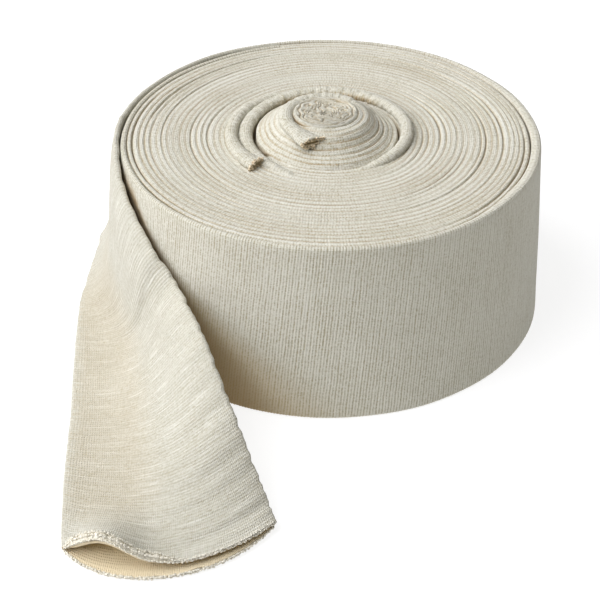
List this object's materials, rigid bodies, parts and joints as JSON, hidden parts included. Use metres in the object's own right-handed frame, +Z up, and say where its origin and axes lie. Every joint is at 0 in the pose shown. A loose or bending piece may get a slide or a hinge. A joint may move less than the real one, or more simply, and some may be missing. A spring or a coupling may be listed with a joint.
{
  "type": "tubular bandage roll",
  "caption": "Roll of knitted tubular bandage standing on its flat end, with the loose end drawn out and open at its cut mouth.",
  "frame": {"origin": "on the roll's axis, at the flat end face it stands on", "axes": "+Z up along the roll's axis; -Y towards the mouth of the loose end; +X to the right of it"},
  "size_m": [0.1925, 0.2617, 0.0859],
  "materials": {
    "wound_knit": "ribbed elastic cotton knit, unbleached, matt",
    "loose_knit": "ribbed elastic cotton knit, unbleached, matt, raw cut edge"
  },
  "bodies": {
    "root": {"wound_roll": "wound_knit", "loose_end": "loose_knit"}
  },
  "joints": []
}
